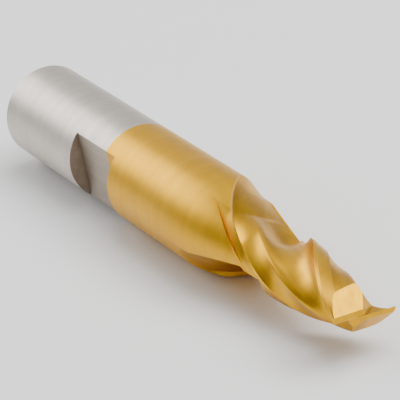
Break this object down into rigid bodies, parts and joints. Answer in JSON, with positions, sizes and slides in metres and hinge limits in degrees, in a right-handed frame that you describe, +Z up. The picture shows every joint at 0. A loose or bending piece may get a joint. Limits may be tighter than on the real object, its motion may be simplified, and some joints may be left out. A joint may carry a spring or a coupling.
{
  "type": "end mill",
  "caption": "Centre-cutting helical end mill with a reduced cutting diameter, a conical neck and a flatted straight shank.",
  "frame": {"origin": "middle of the tool's bounding box, on its axis and half way along its length", "axes": "+X along the tool's axis towards the cutting end, -Y out of the shank's flat, +Z up"},
  "size_m": [0.0588, 0.0096, 0.0096],
  "materials": {
    "ground_steel": "ground",
    "coated_shank_steel": "ground, titanium nitride coated",
    "coated_tooth_steel": "ground, titanium nitride coated"
  },
  "bodies": {
    "root": {"shank": "ground_steel", "coated_shank": "coated_shank_steel", "cutting_head": "coated_tooth_steel"}
  },
  "joints": []
}
